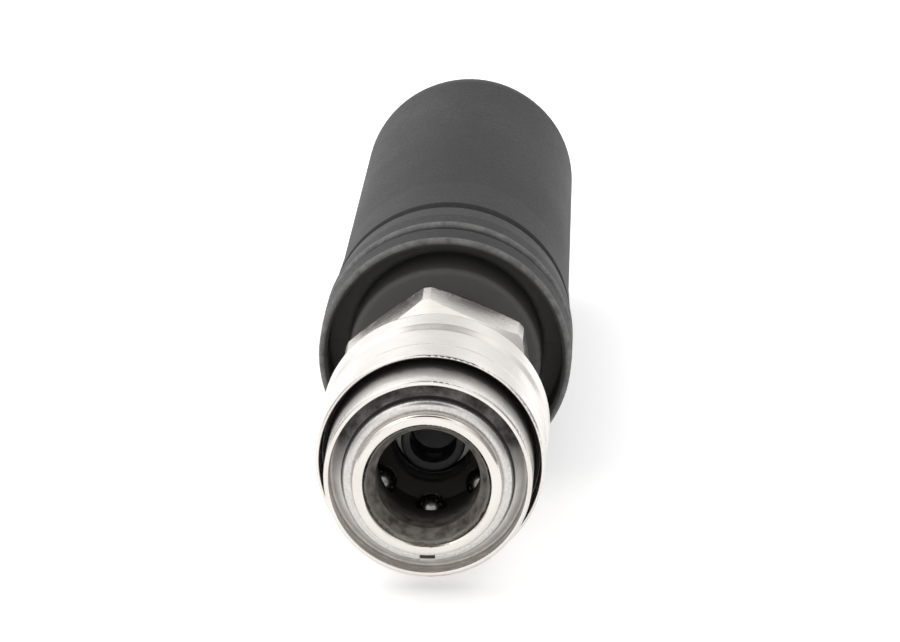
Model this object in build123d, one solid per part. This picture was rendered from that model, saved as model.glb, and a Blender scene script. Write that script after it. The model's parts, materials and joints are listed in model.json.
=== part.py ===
"""Quick disconnect coupler for an air hose: a sprung-sleeve socket, a crimped hose tail and a rubber boot.

Millimetres. The axis runs along Y: the plug enters at the -Y end and the hose at the +Y end. +Z is up.
The origin is on the axis at the face of the hose tail that the cut end of the hose butts against.
Lengths along the axis are first worked out as stations from the front face of the nose, then shifted.
"""

from build123d import *
import math
import os

# Overall stations from the nose
SLEEVE_FRONT = 2.0
SLEEVE_LENGTH = 18.2
HEX_FRONT = 26.8
HEX_LENGTH = 5.2
BOOT_FRONT = 38.8
HOSE_STOP = 43.5
BOOT_REAR = 100.5

# Radii that fit something
BORE_R = 5.5
MOUTH_R = 6.8
NOSE_BORE_R = 4.4
BODY_R = 7.9
CHAMBER_R = 6.3
SPIGOT_R = 7.35
THREAD_R = 7.4
BARB_R = 5.0
HOSE_R = 7.5
FERRULE_R = 9.0
RUN = 0.05
TOUCH = 0.05

# Sleeve and what it moves
SLEEVE_R = 12.0
SLEEVE_MOUTH_R = 10.35
SLEEVE_NOSE_R = 10.9
SLEEVE_SLOT_R = 11.55
SLOT_FRONT = 7.0
SLOT_END = 9.6
SLEEVE_WAIST_R = 11.75
MOUTH_END = 4.3
RECESS_R = 9.1
RECESS_FRONT = 3.9
LAND_REAR = 10.9
SKIRT_R = 9.6
SLEEVE_TRAVEL = 3.6
BALLS = 6
BALL_R = 1.75
BALL_STATION = 9.5
BALL_LOCKED_R = BODY_R - BALL_R
BALL_SEAT_R = 1.6
BALL_HOLE_R = 1.85
BALL_LIFT = 0.95
CAM_SLOPE = BALL_LIFT / SLEEVE_TRAVEL
RING_WIRE_R = 0.8
RING_R = 8.15
RING_STATION = 1.9
WASHER_FRONT = 10.95
WASHER_REAR = 11.75
SLEEVE_WIRE_R = 0.45
SLEEVE_SPRING_R = 8.7

# Front bore and its seal
LEAD_IN = 2.2
BORE_END = 7.5
RELIEF_R = 5.8
RELIEF_END = 11.5
NOSE_BORE_START = 12.8
SEAL_GROOVE = (14.0, 16.2)
SEAL_GROOVE_R = 6.1
SEAL_CORD_R = 0.95
SEAT_START = 17.4
SEAT_END = 18.8

# Rear of the body and the valve
FLANGE_FRONT = 19.5
FLANGE_REAR = 20.7
FLANGE_R = 9.5
BODY_END = 28.4
GUIDE_REAR = 30.18
POCKET_END = 30.2
CROWN_FRONT = 13.4
CROWN_R = 3.4
CROWN_BORE_R = 2.4
CROWN_END = 16.6
NECK_R = 3.58
HEAD_R = 5.4
HEAD_FRONT = 19.2
HEAD_REAR = 20.2
STEM_R = 1.25
STEM_END = 32.5
VALVE_SPRING_R = 3.2
VALVE_WIRE_R = 0.4
WINDOW_R = (4.0, 6.0)
SPOKE_WIDTH = 1.6

# Hose tail
ADAPTER_FRONT = 21.5
ADAPTER_FRONT_R = 9.2
HEX_FLATS = 19.0
HEX_TURN = 7.7
HEX_FACE_R = 9.3
HEX_CORNER_R = 10.75
HEX_CHAMFER = 0.8
COLLAR_R = 7.2
COLLAR_END = 40.7
LOCK_END = 42.3
LOCK_R = 6.0
STOP_R = 6.8
THROUGH_R = 3.3
BARB_ROOT_R = 4.55
BARB_PITCH = 4.4
BARB_COUNT = 5
TAIL_END = HOSE_STOP + 26.0
FERRULE_FRONT = 40.9
FERRULE_END = HOSE_STOP + 26.5
CRIMP_DEPTH = 0.35

# Boot
BOOT_FRONT_R = 13.4
BOOT_REAR_R = 11.1
CUP_R = 12.5
CUP_END = 44.0
LIP_FRONT = 38.1
LIP_R = 10.2
DOME_START = 96.8
CAVITY_R = 10.2
GRIP_RIBS = ((47.0, 48.8), (56.0, 58.6), (67.0, 68.8))


def turned(*profile):
    """A solid turned about the axis from (radius, station, corner radius) points."""
    points = [(radius, station) for radius, station, _ in profile]
    corners = [corner for _, _, corner in profile]
    outline = FilletPolyline(*points, radius=corners, close=True)
    return revolve(make_face(outline), Axis.Y)


def tube(inner, outer, start, end):
    """A plain ring between two stations."""
    return turned((inner, start, 0), (outer, start, 0), (outer, end, 0), (inner, end, 0))


def round_ring(centre_r, cord_r, station):
    """A ring of round section, such as an O-ring."""
    section = Pos(centre_r, station, 0) * Circle(cord_r)
    return revolve(section, Axis.Y)


def around(shape, count, start=0.0):
    """Copies of a shape spaced evenly about the axis."""
    return [Rot(0, start + 360.0 * i / count, 0) * shape for i in range(count)]


def coil(mean_r, wire_r, start, end, turns):
    """A compression spring with both ends ground flat, between two stations."""
    length = end - start
    pitch = (length - wire_r) / turns
    path = Helix(pitch, pitch * turns, mean_r, center=(0, start + wire_r / 2, 0), direction=(0, 1, 0))
    section = Plane(path @ 0, z_dir=path % 0) * Circle(wire_r)
    wire = sweep(section, path, is_frenet=True)
    reach = mean_r + 2 * wire_r
    return wire & tube(mean_r - 2 * wire_r, reach, start, end)


def ball_hole():
    """The pocket of one locking ball, narrowed at the bore so that the ball can't fall in."""
    bottom = BORE_R - 1
    top = BODY_R + 1
    outline = Polyline(
        (0, bottom),
        (BALL_SEAT_R, bottom),
        (BALL_SEAT_R, 5.25),
        (BALL_HOLE_R, 5.95),
        (BALL_HOLE_R, top),
        (0, top),
        close=True,
    )
    pocket = revolve(make_face(outline), Axis.Y)
    return Pos(0, BALL_STATION, 0) * Rot(90, 0, 0) * pocket


def socket_body():
    """The turned body: nose, bore, ball pockets, seal groove, valve seat, spring flange, rear spigot."""
    shell = turned(
        (MOUTH_R, 0, 0.25),
        (BODY_R - 0.1, 0, 0.45),
        (BODY_R, 1.0, 0),
        (BODY_R, FLANGE_FRONT, 0),
        (FLANGE_R, FLANGE_FRONT, 0.25),
        (FLANGE_R, FLANGE_REAR, 0.25),
        (SPIGOT_R, FLANGE_REAR, 0),
        (SPIGOT_R, BODY_END, 0.2),
        (CHAMBER_R, BODY_END, 0.2),
        (CHAMBER_R, SEAT_END, 0),
        (NOSE_BORE_R, SEAT_START, 0),
        (NOSE_BORE_R, SEAL_GROOVE[1], 0),
        (SEAL_GROOVE_R, SEAL_GROOVE[1], 0.2),
        (SEAL_GROOVE_R, SEAL_GROOVE[0], 0.2),
        (NOSE_BORE_R, SEAL_GROOVE[0], 0),
        (NOSE_BORE_R, NOSE_BORE_START, 0),
        (RELIEF_R, RELIEF_END, 0),
        (RELIEF_R, BORE_END, 0),
        (BORE_R, BORE_END, 0),
        (BORE_R, LEAD_IN, 0),
    )
    shell -= round_ring(RING_R, RING_WIRE_R + 0.02, RING_STATION)
    for pocket in around(ball_hole(), BALLS):
        shell -= pocket
    return shell


def sliding_sleeve():
    """The sleeve: a narrow front with a step behind it, undercut by a slot, and a hollow mouth.

    Inside are a collar behind the retaining ring, a ball recess, a cam cone, a land and a spring skirt.
    """
    clearance = (BALL_R + 0.04) / math.cos(math.atan(CAM_SLOPE))
    cam_r = BALL_LOCKED_R + clearance
    land_r = BODY_R + RUN
    cam_start = BALL_STATION - (RECESS_R - cam_r) / CAM_SLOPE
    cam_end = BALL_STATION + (cam_r - land_r) / CAM_SLOPE
    collar_front = RING_STATION + RING_WIRE_R + TOUCH
    collar_r = RING_R + RING_WIRE_R + 0.15
    rear = SLEEVE_FRONT + SLEEVE_LENGTH
    return turned(
        (SLEEVE_MOUTH_R, SLEEVE_FRONT, 0.15),
        (SLEEVE_NOSE_R, SLEEVE_FRONT, 0.25),
        (SLEEVE_NOSE_R, SLOT_END, 0.2),
        (SLEEVE_SLOT_R, SLOT_END, 0.2),
        (SLEEVE_SLOT_R, SLOT_FRONT, 0.15),
        (SLEEVE_R, SLOT_FRONT, 0.25),
        (SLEEVE_R, 10.2, 1.5),
        (SLEEVE_WAIST_R, 11.2, 1.5),
        (SLEEVE_WAIST_R, 15.4, 1.5),
        (SLEEVE_R, 16.4, 1.5),
        (SLEEVE_R, rear, 0.9),
        (SKIRT_R, rear, 0.2),
        (SKIRT_R, LAND_REAR, 0.2),
        (land_r, LAND_REAR, 0.1),
        (land_r, cam_end, 0),
        (RECESS_R, cam_start, 0),
        (RECESS_R, RECESS_FRONT, 0.2),
        (land_r, RECESS_FRONT, 0.1),
        (land_r, collar_front, 0.1),
        (collar_r, collar_front, 0.1),
        (SLEEVE_MOUTH_R, MOUTH_END, 0.2),
    )


def retaining_ring():
    """The split wire ring in the nose groove that stops the sleeve from coming off forwards."""
    ring = round_ring(RING_R, RING_WIRE_R, RING_STATION)
    gap = Pos(0, RING_STATION, -RING_R) * Box(1.6, 4, 4)
    return ring - gap


def thrust_washer():
    """The flat washer between the sleeve and its spring, which lets the sleeve turn freely."""
    return tube(BODY_R + 0.1, SKIRT_R - 0.2, WASHER_FRONT, WASHER_REAR)


def sleeve_spring():
    """The spring that holds the sleeve forward."""
    return coil(SLEEVE_SPRING_R, SLEEVE_WIRE_R, WASHER_REAR + TOUCH, FLANGE_FRONT - TOUCH, 3.6)


def locking_balls():
    """The locking balls, in their locked places."""
    ball = Pos(0, BALL_STATION, BALL_LOCKED_R) * Sphere(BALL_R)
    return around(ball, BALLS)


def plug_seal():
    """The O-ring that seals on the nose of the plug."""
    middle = sum(SEAL_GROOVE) / 2
    return round_ring(SEAL_GROOVE_R - SEAL_CORD_R - 0.03, SEAL_CORD_R, middle)


def valve_poppet():
    """The valve: a slotted crown that the plug pushes on, a head behind the seal and a guide stem."""
    shape = turned(
        (CROWN_BORE_R, CROWN_FRONT, 0.15),
        (CROWN_R, CROWN_FRONT, 0.3),
        (CROWN_R, CROWN_END, 0),
        (NECK_R, CROWN_END, 0),
        (NECK_R, HEAD_FRONT, 0),
        (HEAD_R, HEAD_FRONT, 0.15),
        (HEAD_R, HEAD_REAR, 0.15),
        (STEM_R, HEAD_REAR, 0),
        (STEM_R, STEM_END, 0.3),
        (0, STEM_END, 0),
        (0, 18.6, 0),
        (CROWN_BORE_R, 17.8, 0),
    )
    slot = Pos(0, CROWN_FRONT + 1.9, 0) * Box(1.7, 1.8, 3 * CROWN_R)
    return shape - slot - Rot(0, 90, 0) * slot


def valve_seal():
    """The rubber ring on the valve head, with the cone that closes on the seat."""
    slope = (CHAMBER_R - NOSE_BORE_R) / (SEAT_END - SEAT_START)
    inner_r = NECK_R + 0.02
    outer_r = HEAD_R + 0.3
    lift = 0.08
    rim = SEAT_START + (outer_r - NOSE_BORE_R) / slope + lift
    return turned(
        (inner_r, SEAT_START + lift, 0),
        (NOSE_BORE_R, SEAT_START + lift, 0),
        (outer_r, rim, 0),
        (outer_r, HEAD_FRONT - 0.01, 0),
        (inner_r, HEAD_FRONT - 0.01, 0),
    )


def seal_retainer():
    """The ring pressed on the valve in front of its seal."""
    return tube(NECK_R + 0.02, NOSE_BORE_R - 0.2, CROWN_END + 0.15, SEAT_START + 0.06)


def valve_spring():
    """The spring that closes the valve."""
    return coil(VALVE_SPRING_R, VALVE_WIRE_R, HEAD_REAR + TOUCH, BODY_END - 0.02, 4.6)


def valve_guide():
    """The windowed disc, held behind the body, that guides the valve stem and seats its spring."""
    disc = turned(
        (STEM_R + RUN, BODY_END + 0.02, 0),
        (THREAD_R - 0.1, BODY_END + 0.02, 0.1),
        (THREAD_R - 0.1, GUIDE_REAR, 0.1),
        (STEM_R + RUN, GUIDE_REAR, 0),
    )
    window = tube(WINDOW_R[0], WINDOW_R[1], BODY_END - 1, GUIDE_REAR + 1)
    spoke = Pos(sum(WINDOW_R) / 2, BODY_END + 1, 0) * Box(4, 6, SPOKE_WIDTH)
    for turned_spoke in around(spoke, 3, 90):
        window -= turned_spoke
    return disc - window


def body_gasket():
    """The flat sealing ring between the body flange and the front face of the hose adapter."""
    gasket_r = ADAPTER_FRONT_R - 0.1
    return turned(
        (THREAD_R + 0.02, FLANGE_REAR + 0.01, 0),
        (gasket_r, FLANGE_REAR + 0.01, 0.15),
        (gasket_r, ADAPTER_FRONT - 0.01, 0.15),
        (THREAD_R + 0.02, ADAPTER_FRONT - 0.01, 0),
    )


def barb_rings():
    """The outline points of the barbs, from the tip of the tail back to its plain seat."""
    points = [(BARB_ROOT_R - 0.25, TAIL_END, 0)]
    for i in range(BARB_COUNT):
        rear = TAIL_END - 0.6 - i * BARB_PITCH
        crest = rear - BARB_PITCH + 1.6
        points.append((BARB_ROOT_R + 0.1, rear, 0))
        points.append((BARB_R, crest, 0))
        points.append((BARB_R, crest - 0.7, 0))
        points.append((BARB_ROOT_R, crest - 0.9, 0))
    return points


def hose_adapter():
    """The front collar, the hexagon, the rear collar, the ferrule groove and the barbed tail."""
    hex_rear = HEX_FRONT + HEX_LENGTH
    turned_part = turned(
        (THREAD_R, ADAPTER_FRONT, 0.2),
        (ADAPTER_FRONT_R, ADAPTER_FRONT, 0.3),
        (ADAPTER_FRONT_R, HEX_FRONT, 0),
        (SLEEVE_R, HEX_FRONT, 0),
        (SLEEVE_R, hex_rear, 0),
        (COLLAR_R, hex_rear, 0.3),
        (COLLAR_R, COLLAR_END, 0.3),
        (LOCK_R, COLLAR_END, 0),
        (LOCK_R, LOCK_END, 0),
        (STOP_R, LOCK_END, 0),
        (STOP_R, HOSE_STOP, 0.2),
        (BARB_R, HOSE_STOP, 0),
        (BARB_R, HOSE_STOP + 3.0, 0),
        (BARB_ROOT_R, HOSE_STOP + 3.2, 0),
        *reversed(barb_rings()),
        (THROUGH_R, TAIL_END, 0.2),
        (THROUGH_R, POCKET_END + 2.9, 0),
        (6.2, POCKET_END, 0),
        (THREAD_R, POCKET_END, 0),
    )
    corner_r = HEX_FLATS / math.sqrt(3)
    hexagon = extrude(RegularPolygon(corner_r, 6), HEX_LENGTH)
    hexagon = Pos(0, HEX_FRONT, 0) * Rot(-90, 0, 0) * hexagon
    hexagon = Rot(0, 90 - HEX_TURN, 0) * hexagon
    chamfered = turned(
        (0, HEX_FRONT, 0),
        (HEX_FACE_R, HEX_FRONT, 0),
        (HEX_CORNER_R, HEX_FRONT + HEX_CHAMFER, 0),
        (HEX_CORNER_R, hex_rear - HEX_CHAMFER, 0),
        (HEX_FACE_R, hex_rear, 0),
        (0, hex_rear, 0),
    )
    front_part = tube(0, SLEEVE_R, ADAPTER_FRONT - 1, HEX_FRONT)
    rear_part = tube(0, SLEEVE_R, hex_rear, TAIL_END + 1)
    return turned_part & (front_part + (hexagon & chamfered) + rear_part)


def crimp_ferrule():
    """The ferrule whose front lip locks in the tail's groove and whose skirt is crimped on the hose."""
    outline = [
        (LOCK_R + 0.1, FERRULE_FRONT, 0),
        (FERRULE_R, FERRULE_FRONT, 0.6),
    ]
    for band in range(3):
        start = HOSE_STOP + 2.7 + 7.0 * band
        outline.append((FERRULE_R, start, 0.3))
        outline.append((FERRULE_R - CRIMP_DEPTH, start + 0.6, 0.3))
        outline.append((FERRULE_R - CRIMP_DEPTH, start + 4.4, 0.3))
        outline.append((FERRULE_R, start + 5.0, 0.3))
    outline.append((FERRULE_R, FERRULE_END, 0.4))
    outline.append((HOSE_R + 0.05, FERRULE_END, 0.3))
    outline.append((HOSE_R + 0.05, LOCK_END + 0.1, 0))
    outline.append((STOP_R + 0.3, LOCK_END - 0.1, 0))
    outline.append((LOCK_R + 0.1, LOCK_END - 0.1, 0))
    return turned(*outline)


def grip_ribs():
    """The outline points of the ribs inside the boot that grip the ferrule, from the rear one forwards."""
    grip_r = FERRULE_R + 0.03
    slope = 0.8
    points = []
    for front, rear in reversed(GRIP_RIBS):
        points.append((CAVITY_R, rear + slope, 0.3))
        points.append((grip_r, rear, 0))
        points.append((grip_r, front, 0))
        points.append((CAVITY_R, front - slope, 0.3))
    return points


def rubber_boot():
    """The boot: a flared rim with two grooves round an inner lip, a long taper, a domed end, inner ribs."""
    grip_r = FERRULE_R + 0.03
    return turned(
        (CUP_R, BOOT_FRONT, 0.4),
        (BOOT_FRONT_R, BOOT_FRONT, 0.45),
        (BOOT_FRONT_R, BOOT_FRONT + 3.3, 0.5),
        (BOOT_FRONT_R - 0.7, BOOT_FRONT + 3.9, 0.3),
        (BOOT_FRONT_R - 0.7, BOOT_FRONT + 4.6, 0.3),
        (BOOT_FRONT_R - 0.05, BOOT_FRONT + 5.3, 0.6),
        (BOOT_FRONT_R - 0.15, BOOT_FRONT + 8.2, 3.0),
        (BOOT_FRONT_R - 0.55, BOOT_FRONT + 11.6, 0.4),
        (BOOT_FRONT_R - 1.1, BOOT_FRONT + 12.1, 0.3),
        (BOOT_FRONT_R - 1.1, BOOT_FRONT + 12.8, 0.3),
        (BOOT_FRONT_R - 0.65, BOOT_FRONT + 13.4, 0.4),
        (BOOT_FRONT_R - 1.15, BOOT_FRONT + 21.5, 20.0),
        (BOOT_REAR_R, DOME_START, 7.0),
        (BOOT_REAR_R - 0.9, BOOT_REAR - 0.9, 2.0),
        (8.6, BOOT_REAR, 0.5),
        (HOSE_R, BOOT_REAR, 0.3),
        (HOSE_R, FERRULE_END + 1.0, 0),
        (CAVITY_R, FERRULE_END + 0.6, 0.3),
        *grip_ribs(),
        (CAVITY_R, 45.0, 0.3),
        (grip_r, 44.2, 0),
        (grip_r, FERRULE_FRONT - 0.1, 0.2),
        (COLLAR_R + 0.03, FERRULE_FRONT - 0.1, 0.2),
        (COLLAR_R + 0.03, LIP_FRONT, 0.3),
        (LIP_R, LIP_FRONT, 0.6),
        (LIP_R, CUP_END, 0.5),
        (CUP_R, CUP_END, 0.5),
    )


def place(shape):
    """Shift a shape from stations counted from the nose to the origin at the hose stop."""
    return Pos(0, -HOSE_STOP, 0) * shape


def solids():
    """Every separate piece by name."""
    pieces = {
        "socket_body": socket_body(),
        "sliding_sleeve": sliding_sleeve(),
        "sleeve_retaining_ring": retaining_ring(),
        "thrust_washer": thrust_washer(),
        "sleeve_spring": sleeve_spring(),
        "plug_seal": plug_seal(),
        "valve_poppet": valve_poppet(),
        "valve_seal": valve_seal(),
        "seal_retainer": seal_retainer(),
        "valve_spring": valve_spring(),
        "valve_guide": valve_guide(),
        "body_gasket": body_gasket(),
        "hose_adapter": hose_adapter(),
        "crimp_ferrule": crimp_ferrule(),
        "rubber_boot": rubber_boot(),
    }
    for number, ball in enumerate(locking_balls(), 1):
        pieces[f"locking_ball_{number}"] = ball
    return pieces


def main():
    os.makedirs("parts", exist_ok=True)
    for name, shape in solids().items():
        export_step(place(shape), f"parts/{name}.step")


main()
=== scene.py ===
"""The looks of the quick disconnect coupler.

Nickel-plated turned metal, a moulded rubber boot, and finer springs in place of the CAD ones.
"""
import json
import math

import bmesh
import bpy
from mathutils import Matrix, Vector

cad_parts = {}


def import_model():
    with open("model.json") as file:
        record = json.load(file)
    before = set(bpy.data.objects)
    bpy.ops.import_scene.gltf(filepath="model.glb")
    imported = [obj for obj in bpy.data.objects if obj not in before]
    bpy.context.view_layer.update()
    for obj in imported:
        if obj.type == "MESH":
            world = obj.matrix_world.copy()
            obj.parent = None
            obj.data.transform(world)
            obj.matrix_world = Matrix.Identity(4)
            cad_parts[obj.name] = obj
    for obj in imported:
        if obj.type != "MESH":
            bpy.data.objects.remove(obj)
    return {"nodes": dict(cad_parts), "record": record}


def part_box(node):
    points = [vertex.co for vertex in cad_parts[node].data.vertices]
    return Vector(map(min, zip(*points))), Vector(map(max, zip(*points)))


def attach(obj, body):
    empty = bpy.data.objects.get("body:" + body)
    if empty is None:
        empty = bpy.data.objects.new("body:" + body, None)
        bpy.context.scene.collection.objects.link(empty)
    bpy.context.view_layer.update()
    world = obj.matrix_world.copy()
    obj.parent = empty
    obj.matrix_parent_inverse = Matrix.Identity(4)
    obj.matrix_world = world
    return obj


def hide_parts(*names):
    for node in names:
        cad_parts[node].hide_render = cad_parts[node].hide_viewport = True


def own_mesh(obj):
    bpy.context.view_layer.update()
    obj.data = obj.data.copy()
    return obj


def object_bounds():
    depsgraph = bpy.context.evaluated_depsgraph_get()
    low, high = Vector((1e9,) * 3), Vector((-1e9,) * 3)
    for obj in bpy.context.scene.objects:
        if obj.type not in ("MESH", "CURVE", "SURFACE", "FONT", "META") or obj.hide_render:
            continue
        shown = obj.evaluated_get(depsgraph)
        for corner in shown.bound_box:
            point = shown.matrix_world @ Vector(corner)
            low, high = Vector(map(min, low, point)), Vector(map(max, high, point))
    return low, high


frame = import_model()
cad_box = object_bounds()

MM = 0.001
low, high = cad_box
FLOOR_Z = low.z
CENTRE = (low + high) / 2

# The camera looks at the coupler over its nose, along its axis; angles in degrees, lens and sensor in mm
VIEW_AZIMUTH = 2.75
VIEW_ELEVATION = 20.0
LENS = 700.0
SENSOR = 36.0
FRAME_WIDTH = 96 * MM

# The sky's zones: each stop is a nearness to a direction, 0 opposite and 1 straight at it, and a brightness
SKY_STRENGTH = 1.22
LEFT = (-1.0, 0.0, 0.0)
LEFT_LEVELS = ((0.0, 0.72), (1.0, 1.36))
OVERHEAD = (0.0, 0.0, 1.0)
OVERHEAD_LEVELS = ((0.5, 0.86), (1.0, 1.65))
DIM_TOP_LEVELS = ((0.93, 1.0), (0.985, 0.55))
DIM_FRONT = (0.0, -0.46, 1.0)
DIM_FRONT_LEVELS = ((0.94, 1.0), (0.98, 0.05))
DIM_BACK = (0.0, 0.85, 0.75)
DIM_BACK_LEVELS = ((0.955, 1.0), (0.99, 0.35))
DIM_SIDES = ((-1.0, -0.1, 0.1), (1.0, -0.1, 0.1))
DIM_SIDE_LEVELS = ((0.78, 1.0), (0.96, 0.42))

# The key light, high on the left, and the floor; lengths in m
KEY_PLACE = (-0.55, 0.1, 0.75)
KEY_SIZE = 0.9
KEY_POWER = 0.7
KEY_COLOUR = (1.0, 0.99, 0.975)
FLOOR_HALF = 6.0
FLOOR_DROP = 0.02 * MM
FLOOR_GLOW = 0.34

# Colours of the plating, clean and dull, and of the stain, painted shade and painted light laid over it
NICKEL = (0.68, 0.645, 0.61)
NICKEL_DULL = (0.60, 0.565, 0.53)
SLEEVE_NICKEL = (0.69, 0.655, 0.625)
SLEEVE_DULL = (0.62, 0.585, 0.55)
# Painted shade: near black, laid in the sleeve's slot, behind its retaining ring, atop its mouth and deep in
# the bore
PAINTED_SHADE = (0.020, 0.017, 0.014)
STAIN = (0.046, 0.034, 0.023)
# Painted light: a pale colour over the sleeve's mouth, seen on its lower side; and how far the mouth is
# dulled
MOUTH_PAINTED_LIGHT = (0.90, 0.87, 0.84)
MOUTH_DULLED_SHARE = 0.95
DULLED_METALLIC = 0.15
DULLED_ROUGHER = 0.35

# Colours of the boot
RUBBER_DARK = (0.019, 0.019, 0.0195)
RUBBER_PALE = (0.030, 0.030, 0.0305)
RUBBER_DUST = (0.075, 0.074, 0.072)
# Painted highlight: a pale grey along the boot's rim and a ridge, patchy with the specks
RUBBER_HIGHLIGHT = (0.16, 0.158, 0.155)
# Painted light: a paler grey in the boot's cup, lifting the shade that falls inside it
CUP_PAINTED_LIGHT = (0.070, 0.068, 0.065)

# Where the socket body is marked, in mm: a stain inside the mouth's chamfer, and painted shade further back
CHAMFER_R = 6.6
BORE_SHADE = (4.0, 6.5)

# Where the sleeve has painted shade and light, in mm: bands back from the nose, soft edges, and radii they
# lie under
SLOT_SHADE = (3.0, 10.8)
SLOT_SHADE_EDGE = 3.2
SLOT_SHADE_REAR_EDGE = 0.1
SLOT_SHADE_RAGGED = 0.35
SLOT_SHADE_R = 11.42
MOUTH_BAND = (2.15, 4.5)
MOUTH_BAND_EDGE = 0.5
MOUTH_BAND_R = 10.3
COLLAR_R = 9.1
# The heights between which the painted shade in the sleeve's mouth comes in, darker towards the top
SHADE_RISE = (-1.5 * MM, 4.0 * MM)

# Where the boot has painted highlights, in mm: bands back from the nose along its rim and a ridge, outside a
# radius
BOOT_RIM = (38.7, 39.35)
BOOT_RIM_EDGE = 0.15
BOOT_RIDGE = (43.6, 44.6)
BOOT_RIDGE_EDGE = 0.3
BOOT_HIGHLIGHT_R = 12.85
# The cup in the boot's rim and half the width of its parting line, in mm
CUP_R = 12.5
CUP_FLOOR = 44.0
SEAM_HALF = 0.16

# The springs: turns that lie shut at each end, how many wire radii the wire's middle starts inside its ground
# end, how gently the pitch opens, from 0 to 1, and how finely the wire is divided
CLOSED_TURNS = 0.8
GROUND_SHARE = 0.2
PITCH_EASE = 0.35
STEPS_PER_TURN = 72
WIRE_SIDES = 20


# ---------------------------------------------------------------- node helpers

class Look:
    """One material, with short ways to add its nodes and link them."""

    def __init__(self, name):
        self.material = bpy.data.materials.new(name)
        self.material.use_nodes = True
        self.tree = self.material.node_tree
        self.tree.nodes.clear()
        output = self.add("ShaderNodeOutputMaterial")
        self.surface = self.add("ShaderNodeBsdfPrincipled")
        self.link(self.surface.outputs[0], output.inputs["Surface"])

    def add(self, kind, **settings):
        """Add a node and give it its settings."""
        node = self.tree.nodes.new(kind)
        for key, value in settings.items():
            setattr(node, key, value)
        return node

    def link(self, source, target):
        """Link one socket to another."""
        self.tree.links.new(source, target)

    def feed(self, source, socket):
        """Link a value to one of the surface's sockets."""
        self.link(source, self.surface.inputs[socket])

    def set(self, **values):
        """Set constants on the surface's sockets, named with _ for a space."""
        for key, value in values.items():
            self.surface.inputs[key.replace("_", " ")].default_value = value

    def math(self, operation, first, second=None):
        """One operation on one or two values, each a number or a node's output."""
        node = self.add("ShaderNodeMath", operation=operation)
        for place, value in enumerate((first, second)):
            if isinstance(value, (int, float)):
                node.inputs[place].default_value = value
            elif value is not None:
                self.link(value, node.inputs[place])
        return node.outputs[0]

    def spread(self, value, low_in, high_in, low_out, high_out):
        """Map a value from one range to another, held at the ends."""
        node = self.add("ShaderNodeMapRange")
        self.link(value, node.inputs["Value"])
        node.inputs["From Min"].default_value = low_in
        node.inputs["From Max"].default_value = high_in
        node.inputs["To Min"].default_value = low_out
        node.inputs["To Max"].default_value = high_out
        return node.outputs["Result"]

    def blend(self, factor, first, second):
        """Mix two colours, each a tuple or a node's output."""
        node = self.add("ShaderNodeMix", data_type="RGBA")
        self.link(factor, node.inputs["Factor"])
        for name, value in (("A", first), ("B", second)):
            socket = [one for one in node.inputs if one.name == name and one.type == "RGBA"][0]
            if isinstance(value, tuple):
                socket.default_value = (*value, 1)
            else:
                self.link(value, socket)
        return [one for one in node.outputs if one.type == "RGBA"][0]

    def place(self):
        """The object's own coordinates."""
        return self.add("ShaderNodeTexCoord").outputs["Object"]

    def axes(self, where):
        """The X, Y and Z of a vector."""
        split = self.add("ShaderNodeSeparateXYZ")
        self.link(where, split.inputs[0])
        return split.outputs["X"], split.outputs["Y"], split.outputs["Z"]

    def turned_place(self):
        """Coordinates for turned parts: distance from the axis, then distance along it."""
        across, along, up = self.axes(self.place())
        squares = self.math("ADD", self.math("POWER", across, 2.0), self.math("POWER", up, 2.0))
        join = self.add("ShaderNodeCombineXYZ")
        self.link(self.math("SQRT", squares), join.inputs["X"])
        self.link(along, join.inputs["Y"])
        return join.outputs[0]

    def turned_axes(self):
        """The distance from the axis and the distance along it."""
        return self.axes(self.turned_place())[:2]

    def under(self, radius, limit, edge):
        """1 nearer the axis than a radius in mm, fading to 0 over the edge before it."""
        return self.spread(radius, (limit - edge) * MM, limit * MM, 1.0, 0.0)

    def band(self, along, stations, edge, rear_edge=None):
        """1 between two distances back from the nose, in mm, fading to 0 over the edges inside them."""
        front, rear = (low.y + station * MM for station in stations)
        after = self.spread(along, front, front + edge * MM, 0.0, 1.0)
        before = self.spread(along, rear - (rear_edge or edge) * MM, rear, 1.0, 0.0)
        return self.math("MULTIPLY", after, before)

    def noise(self, where, per_mm, detail=3.0, roughness=0.5, stretch=None):
        """Cloudy noise with about this many spots to the millimetre."""
        node = self.add("ShaderNodeTexNoise")
        node.inputs["Scale"].default_value = per_mm / MM
        node.inputs["Detail"].default_value = detail
        node.inputs["Roughness"].default_value = roughness
        if stretch is not None:
            mapping = self.add("ShaderNodeMapping")
            mapping.inputs["Scale"].default_value = stretch
            self.link(where, mapping.inputs["Vector"])
            where = mapping.outputs[0]
        self.link(where, node.inputs["Vector"])
        return node.outputs["Fac"]

    def bump(self, height, depth_mm, after=None, strength=1.0):
        """Raise the surface by a height, on top of an earlier bump if there is one."""
        node = self.add("ShaderNodeBump")
        node.inputs["Strength"].default_value = strength
        node.inputs["Distance"].default_value = depth_mm * MM
        self.link(height, node.inputs["Height"])
        if after is not None:
            self.link(after, node.inputs["Normal"])
        self.feed(node.outputs[0], "Normal")
        return node.outputs[0]

    def cover(self, share, colour):
        """Mix a colour over the base colour."""
        below = self.surface.inputs["Base Color"].links[0].from_socket
        self.feed(self.blend(share, below, colour), "Base Color")

    def roughen(self, amount):
        """Make a metal rougher and less metallic where it is stained, and under painted shade and painted
        light.
        """
        clean = self.surface.inputs["Roughness"].links[0].from_socket
        self.feed(self.math("ADD", clean, self.math("MULTIPLY", amount, DULLED_ROUGHER)), "Roughness")
        self.feed(self.spread(amount, 0.0, 1.0, 1.0, DULLED_METALLIC), "Metallic")


# ---------------------------------------------------------------- materials

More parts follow.
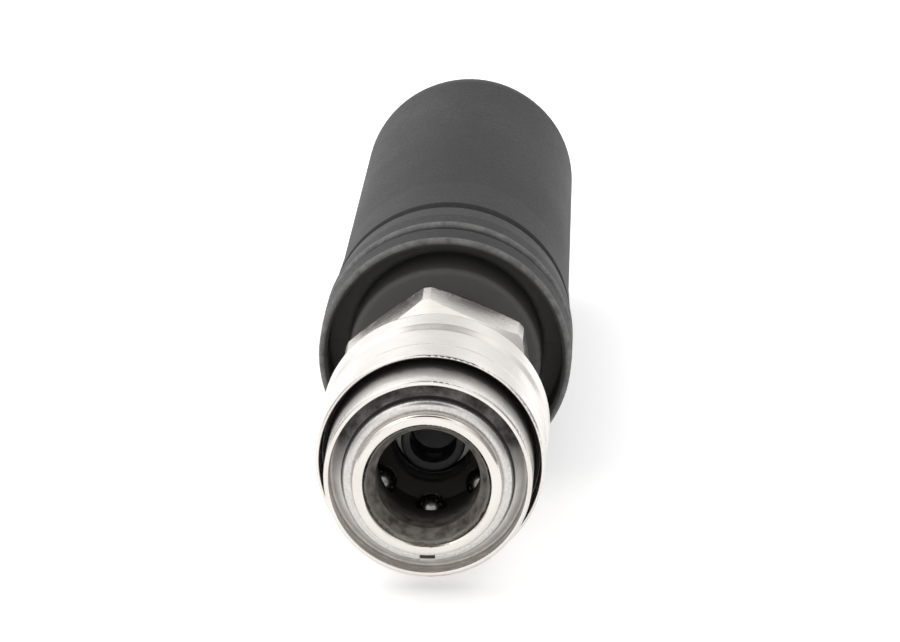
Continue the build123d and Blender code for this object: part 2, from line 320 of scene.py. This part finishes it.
def plated_metal(name, clean, dull, roughness, marks=0.004, marks_per_mm=6.0):
    """Plated turned metal: an uneven tint, lathe marks round the axis, handling scratches and smudges."""
    look = Look(name)
    look.set(Metallic=1.0)
    cloud = look.noise(look.place(), 0.12, detail=4)
    look.feed(look.blend(look.spread(cloud, 0.35, 0.7, 0.0, 1.0), clean, dull), "Base Color")
    lathe = look.noise(look.turned_place(), marks_per_mm, detail=4, roughness=0.65)
    scratch = look.noise(look.place(), 1.4, detail=6, roughness=0.75, stretch=(1.0, 7.0, 1.0))
    smudge = look.noise(look.place(), 0.28, detail=3)
    from_lathe = look.spread(lathe, 0.3, 0.7, -0.04, 0.06)
    from_scratch = look.spread(scratch, 0.55, 0.75, 0.0, 0.12)
    from_smudge = look.spread(smudge, 0.45, 0.7, roughness, roughness + 0.09)
    rough = look.math("ADD", look.math("ADD", from_lathe, from_scratch), from_smudge)
    look.feed(look.math("MAXIMUM", rough, 0.06), "Roughness")
    first = look.bump(lathe, marks)
    look.bump(scratch, marks * 0.5, after=first, strength=0.6)
    return look


def socket_metal(name):
    """The body's plating: stained brown in the mouth, with painted shade deepening further into the bore."""
    look = plated_metal(name, NICKEL, NICKEL_DULL, 0.15)
    radius, along = look.turned_axes()
    patchy = look.spread(look.noise(look.place(), 0.9, detail=4), 0.3, 0.7, -1.0, 1.0)
    ragged = look.math("ADD", radius, look.math("MULTIPLY", patchy, 0.1 * MM))
    inside = look.under(ragged, CHAMFER_R, 0.3)
    front, rear = (low.y + station * MM for station in BORE_SHADE)
    # Painted shade that darkens the bore further in
    bore_shade = look.math("MULTIPLY", inside, look.spread(along, front, rear, 0.0, 1.0))
    stain = look.math("MULTIPLY", inside, look.spread(patchy, -1.0, 1.0, 0.65, 1.0))
    look.cover(stain, STAIN)
    # Lay the painted shade over the bore
    look.cover(bore_shade, PAINTED_SHADE)
    look.roughen(look.math("MAXIMUM", stain, bore_shade))
    return look


def sleeve_metal(name):
    """The sleeve's plating, with painted shade in its slot, behind the retaining ring and atop its mouth.

    Its mouth is painted pale, as painted light, and made rougher and less metallic.
    """
    look = plated_metal(name, SLEEVE_NICKEL, SLEEVE_DULL, 0.19)
    radius, along = look.turned_axes()
    height = look.axes(look.place())[2]
    patchy = look.noise(look.place(), 0.5, detail=5, roughness=0.7)
    shift = look.spread(patchy, 0.3, 0.7, -SLOT_SHADE_RAGGED * MM, SLOT_SHADE_RAGGED * MM)
    # Painted shade in the sleeve's slot, all round
    slot = look.band(look.math("ADD", along, shift), SLOT_SHADE, SLOT_SHADE_EDGE, SLOT_SHADE_REAR_EDGE)
    slot = look.math("MULTIPLY", slot, look.under(radius, SLOT_SHADE_R, 0.1))
    mouth = look.band(along, MOUTH_BAND, MOUTH_BAND_EDGE)
    mouth = look.math("MULTIPLY", mouth, look.under(radius, MOUTH_BAND_R, 0.1))
    # Painted shade in the mouth, darker towards the top, where the sleeve's lip shades it
    upper = look.spread(height, *SHADE_RISE, 0.0, 1.0)
    uneven = look.math("MULTIPLY", upper, look.spread(patchy, 0.3, 0.65, 0.75, 1.0))
    # Painted shade on everything nearer the axis than the collar, behind the retaining ring
    behind_ring = look.under(radius, COLLAR_R + 0.1, 0.15)
    painted_shade = look.math("MAXIMUM", slot, look.math("MULTIPLY", mouth, uneven))
    painted_shade = look.math("MAXIMUM", painted_shade, behind_ring)
    # Painted light over the whole mouth band, left showing below the painted shade
    look.cover(mouth, MOUTH_PAINTED_LIGHT)
    # Lay the painted shade over the colour
    look.cover(painted_shade, PAINTED_SHADE)
    look.roughen(look.math("MAXIMUM", painted_shade, look.math("MULTIPLY", mouth, MOUTH_DULLED_SHARE)))
    return look


def wire_metal(name, colour, roughness):
    """Drawn wire with a fine grain and a thin, uneven film of oil."""
    look = Look(name)
    look.set(Metallic=1.0)
    grain = look.noise(look.place(), 3.0, detail=5, roughness=0.7)
    oily = tuple(level * 0.72 for level in colour)
    look.feed(look.blend(look.spread(grain, 0.3, 0.7, 0.0, 1.0), colour, oily), "Base Color")
    look.feed(look.spread(grain, 0.3, 0.7, roughness, roughness + 0.15), "Roughness")
    look.bump(grain, 0.003)
    return look


def seal_rubber(name):
    """Smooth black sealing rubber with a trace of grease."""
    look = Look(name)
    cloud = look.noise(look.place(), 0.5, detail=4)
    look.feed(look.blend(cloud, (0.012, 0.012, 0.012), (0.03, 0.029, 0.028)), "Base Color")
    look.feed(look.spread(cloud, 0.3, 0.7, 0.32, 0.55), "Roughness")
    look.bump(look.noise(look.place(), 6.0, detail=3), 0.004)
    return look


def dull_plastic(name):
    """Black moulded plastic with fine flow marks and a little grease."""
    look = Look(name)
    cloud = look.noise(look.place(), 0.6, detail=4)
    look.feed(look.blend(cloud, (0.011, 0.011, 0.012), (0.024, 0.024, 0.025)), "Base Color")
    look.feed(look.spread(cloud, 0.3, 0.7, 0.38, 0.6), "Roughness")
    look.bump(look.noise(look.place(), 4.0, detail=4, stretch=(1.0, 0.2, 1.0)), 0.006)
    return look


def boot_rubber(name):
    """Moulded black rubber: matte, dusty specks, a parting line, painted highlights on its edges, painted
    light in the cup.
    """
    look = Look(name)
    place = look.place()
    height = look.axes(place)[2]
    radius, along = look.turned_axes()
    cloud = look.noise(place, 0.06, detail=5, roughness=0.6)
    fine = look.noise(place, 3.2, detail=4, roughness=0.7)
    speck = look.noise(place, 0.9, detail=5, roughness=0.8)

    rubber = look.blend(look.spread(cloud, 0.35, 0.7, 0.0, 1.0), RUBBER_DARK, RUBBER_PALE)
    look.feed(look.blend(look.spread(speck, 0.58, 0.78, 0.0, 0.5), rubber, RUBBER_DUST), "Base Color")
    # Painted highlights along the rim's front edge and a ridge, outside a radius
    rim = look.band(along, BOOT_RIM, BOOT_RIM_EDGE)
    painted_highlight = look.math("MAXIMUM", rim, look.band(along, BOOT_RIDGE, BOOT_RIDGE_EDGE))
    outside = look.spread(radius, (BOOT_HIGHLIGHT_R - 0.1) * MM, (BOOT_HIGHLIGHT_R + 0.1) * MM, 0.0, 1.0)
    painted_highlight = look.math("MULTIPLY", painted_highlight, outside)
    look.cover(look.math("MULTIPLY", painted_highlight, look.spread(speck, 0.3, 0.6, 0.35, 1.0)), RUBBER_HIGHLIGHT)
    # Painted light in the cup, up to its floor
    cup_floor = low.y + CUP_FLOOR * MM
    before_floor = look.spread(along, cup_floor, cup_floor + MM, 1.0, 0.0)
    look.cover(look.math("MULTIPLY", look.under(radius, CUP_R + 0.3, 0.4), before_floor), CUP_PAINTED_LIGHT)

    from_cloud = look.spread(cloud, 0.3, 0.7, 0.50, 0.64)
    look.feed(look.math("ADD", from_cloud, look.spread(fine, 0.3, 0.7, -0.05, 0.08)), "Roughness")
    look.set(Specular_IOR_Level=0.20)
    seam = look.spread(look.math("ABSOLUTE", height), 0.0, SEAM_HALF * MM, 1.0, 0.0)
    first = look.bump(seam, 0.06)
    second = look.bump(fine, 0.028, after=first)
    look.bump(speck, 0.03, after=second, strength=0.5)
    return look


MATERIALS = {
    "body_nickel": socket_metal("body_nickel"),
    "sleeve_nickel": sleeve_metal("sleeve_nickel"),
    "hex_nickel": plated_metal("hex_nickel", NICKEL, NICKEL_DULL, 0.20, marks=0.006, marks_per_mm=4.0),
    "spring_steel": wire_metal("spring_steel", (0.62, 0.60, 0.58), 0.24),
    "steel": plated_metal("steel", (0.62, 0.60, 0.57), (0.52, 0.50, 0.47), 0.30),
    # The balls' steel is painted dark, standing in for the shade deep in the bore
    "ball_steel": plated_metal("ball_steel", (0.22, 0.21, 0.20), (0.15, 0.145, 0.14), 0.16, marks=0.001),
    "valve_plastic": dull_plastic("valve_plastic"),
    "brass": plated_metal("brass", (0.74, 0.55, 0.28), (0.60, 0.43, 0.20), 0.22),
    "ferrule_zinc": plated_metal("ferrule_zinc", (0.66, 0.64, 0.58), (0.56, 0.53, 0.45), 0.28),
    "seal_rubber": seal_rubber("seal_rubber"),
    "boot_rubber": boot_rubber("boot_rubber"),
}


def finish_cad_nodes():
    """Give every CAD node the material of its slot."""
    for part in frame["record"]["subparts"]:
        mesh = frame["nodes"][part["node"]]
        mesh.material_slots[0].material = MATERIALS[part["material_slot"]].material


# ---------------------------------------------------------------- springs

def finished(name, bm):
    """Turn a bmesh into a smooth-shaded object at the origin."""
    bmesh.ops.recalc_face_normals(bm, faces=bm.faces)
    mesh = bpy.data.meshes.new(name)
    bm.to_mesh(mesh)
    bm.free()
    mesh.shade_smooth()
    piece = bpy.data.objects.new(name, mesh)
    bpy.context.scene.collection.objects.link(piece)
    return piece


def spring_mesh(name, mean_r, wire_r, start, end, turns):
    """A compression spring with closed, ground ends, as a tube swept along its centre line."""
    closed_rise = 2 * wire_r * CLOSED_TURNS
    open_turns = turns - 2 * CLOSED_TURNS
    inset = GROUND_SHARE * wire_r
    open_rise = end - start - 2 * closed_rise - 2 * inset

    def along(turn):
        """How far along the axis the centre line is after some turns."""
        closed = min(turn, CLOSED_TURNS) + max(turn - (turns - CLOSED_TURNS), 0.0)
        share = min(max((turn - CLOSED_TURNS) / open_turns, 0.0), 1.0)
        eased = share * share * (3 - 2 * share)
        opened = eased * PITCH_EASE + share * (1 - PITCH_EASE)
        return start + inset + 2 * wire_r * closed + opened * open_rise

    count = int(turns * STEPS_PER_TURN)
    bm = bmesh.new()
    rings = []
    for i in range(count + 1):
        turn = turns * i / count
        angle = 2 * math.pi * turn
        out = Vector((math.sin(angle), 0, math.cos(angle)))
        ring = []
        for k in range(WIRE_SIDES):
            around = 2 * math.pi * k / WIRE_SIDES
            point = out * (mean_r + wire_r * math.cos(around))
            point.y = min(max(along(turn) + wire_r * math.sin(around), start), end)
            ring.append(bm.verts.new(point))
        rings.append(ring)
    for first, second in zip(rings, rings[1:]):
        for k in range(WIRE_SIDES):
            j = (k + 1) % WIRE_SIDES
            bm.faces.new((first[k], first[j], second[j], second[k]))
    bm.faces.new(list(reversed(rings[0])))
    bm.faces.new(rings[-1])
    return finished(name, bm)


def spring(node, turns, wire_r):
    """Replace a CAD spring with a finer one, attached to the coupler's body."""
    near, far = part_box(node)
    mean_r = far.x - wire_r
    piece = spring_mesh(node + "_coil", mean_r, wire_r, near.y, far.y, turns)
    piece.data.materials.append(MATERIALS["spring_steel"].material)
    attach(piece, "coupler")
    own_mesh(piece)
    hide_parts(node)


# ---------------------------------------------------------------- stage, light and camera

def floor():
    """A wide pale floor, faintly lit from within like a light table, that the boot's rim rests on."""
    bm = bmesh.new()
    bmesh.ops.create_grid(bm, x_segments=8, y_segments=8, size=FLOOR_HALF)
    piece = finished("floor", bm)
    piece.location = (0, 0, FLOOR_Z - FLOOR_DROP)
    look = Look("floor_paper")
    grain = look.noise(look.place(), 0.4, detail=3)
    look.feed(look.blend(grain, (0.93, 0.93, 0.93), (0.95, 0.95, 0.95)), "Base Color")
    look.set(Roughness=0.85, Emission_Color=(1, 1, 1, 1), Emission_Strength=FLOOR_GLOW)
    piece.data.materials.append(look.material)


def world():
    """A soft white sky, brighter on the left and higher up, with dim patches.

    The patches lie overhead, in front, behind and at both sides, and give the metal something to reflect.
    """
    studio = bpy.data.worlds.new("studio")
    bpy.context.scene.world = studio
    studio.use_nodes = True
    nodes = studio.node_tree.nodes
    links = studio.node_tree.links
    direction = nodes.new("ShaderNodeTexCoord").outputs["Generated"]

    def toward(centre, stops):
        """A colour ramp over how nearly the sky's direction is the given one."""
        dot = nodes.new("ShaderNodeVectorMath")
        dot.operation = "DOT_PRODUCT"
        links.new(direction, dot.inputs[0])
        dot.inputs[1].default_value = Vector(centre).normalized()
        nearness = nodes.new("ShaderNodeMapRange")
        links.new(dot.outputs["Value"], nearness.inputs["Value"])
        nearness.inputs["From Min"].default_value = -1.0
        ramp = nodes.new("ShaderNodeValToRGB")
        links.new(nearness.outputs["Result"], ramp.inputs["Fac"])
        for element, (position, level) in zip(ramp.color_ramp.elements, stops):
            element.position = position
            element.color = (level, level, level, 1)
        return ramp.outputs["Color"]

    colour = toward(LEFT, LEFT_LEVELS)
    zones = [(OVERHEAD, OVERHEAD_LEVELS), (OVERHEAD, DIM_TOP_LEVELS)]
    zones += [(DIM_FRONT, DIM_FRONT_LEVELS), (DIM_BACK, DIM_BACK_LEVELS)]
    zones += [(side, DIM_SIDE_LEVELS) for side in DIM_SIDES]
    for centre, stops in zones:
        mix = nodes.new("ShaderNodeVectorMath")
        mix.operation = "MULTIPLY"
        links.new(colour, mix.inputs[0])
        links.new(toward(centre, stops), mix.inputs[1])
        colour = mix.outputs[0]
    strength = nodes.new("ShaderNodeVectorMath")
    strength.operation = "SCALE"
    strength.inputs["Scale"].default_value = SKY_STRENGTH
    links.new(colour, strength.inputs[0])
    links.new(strength.outputs[0], nodes["Background"].inputs["Color"])


def key_light():
    """A soft square light aimed at the middle of the coupler."""
    data = bpy.data.lights.new("key", "AREA")
    data.shape = "RECTANGLE"
    data.size = KEY_SIZE
    data.size_y = KEY_SIZE
    data.energy = KEY_POWER
    data.color = KEY_COLOUR
    lamp = bpy.data.objects.new("key", data)
    bpy.context.scene.collection.objects.link(lamp)
    lamp.location = CENTRE + Vector(KEY_PLACE)
    lamp.rotation_mode = "QUATERNION"
    lamp.rotation_quaternion = (-Vector(KEY_PLACE)).to_track_quat("-Z", "Y")
    lamp.visible_camera = False


def camera():
    """A long lens at the viewing angle, aimed at the middle of the coupler."""
    data = bpy.data.cameras.new("camera")
    data.lens = LENS
    data.sensor_width = SENSOR
    data.clip_start = 0.01
    data.clip_end = 20.0
    cam = bpy.data.objects.new("camera", data)
    bpy.context.scene.collection.objects.link(cam)
    azimuth = math.radians(VIEW_AZIMUTH)
    elevation = math.radians(VIEW_ELEVATION)
    back = Vector((
        math.sin(azimuth) * math.cos(elevation),
        -math.cos(azimuth) * math.cos(elevation),
        math.sin(elevation),
    ))
    cam.location = CENTRE + back * (FRAME_WIDTH * LENS / SENSOR)
    cam.rotation_mode = "QUATERNION"
    cam.rotation_quaternion = (-back).to_track_quat("-Z", "Y")
    bpy.context.scene.camera = cam


bpy.context.scene.view_settings.view_transform = "Standard"
camera()
world()
floor()
key_light()
finish_cad_nodes()
spring("sleeve_spring", turns=4.5, wire_r=0.45 * MM)
spring("valve_spring", turns=5.6, wire_r=0.4 * MM)
